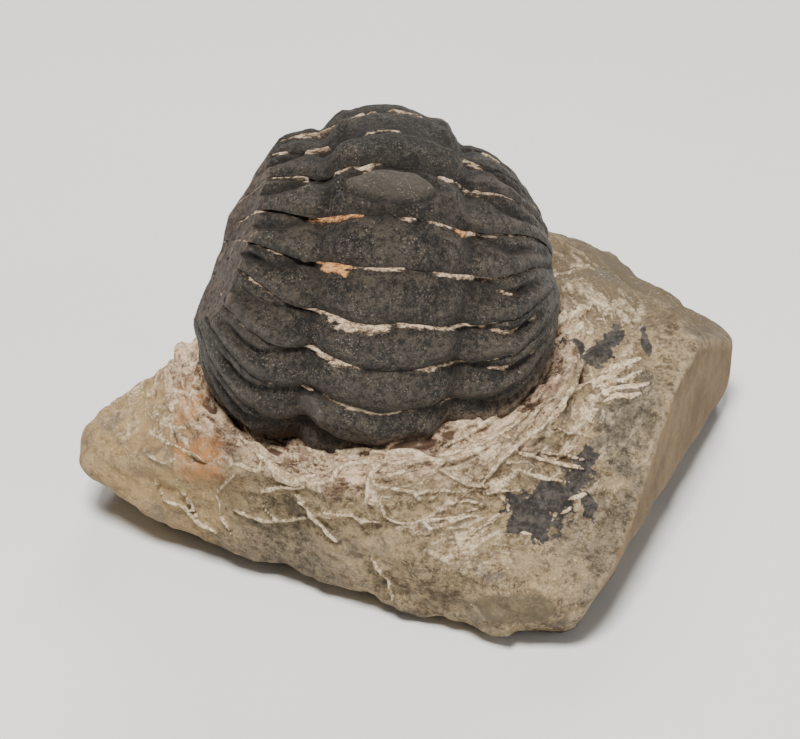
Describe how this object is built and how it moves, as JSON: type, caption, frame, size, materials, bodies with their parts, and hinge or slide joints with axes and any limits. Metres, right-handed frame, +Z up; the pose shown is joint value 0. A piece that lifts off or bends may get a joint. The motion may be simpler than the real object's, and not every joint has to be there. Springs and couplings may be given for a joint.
{
  "type": "fossil phacops trilobite",
  "caption": "Rolled-up dark phacops trilobite, segmented back up, half buried in a loose piece of pale limestone that lies on its flat side.",
  "frame": {"origin": "middle of the bounding box in X and Y, on the surface that the stone lies on", "axes": "+Z up, -Y towards the side that the picture shows, +X to its right"},
  "size_m": [0.0606, 0.0503, 0.0384],
  "materials": {
    "limestone": "pale brown limestone, broken and scribed, with cream tool marks, matt",
    "fossil": "dark grey calcite, finely granular, satin, with cream and orange infill in the cracks"
  },
  "bodies": {
    "root": {"matrix": "limestone", "trilobite": "fossil"}
  },
  "joints": []
}
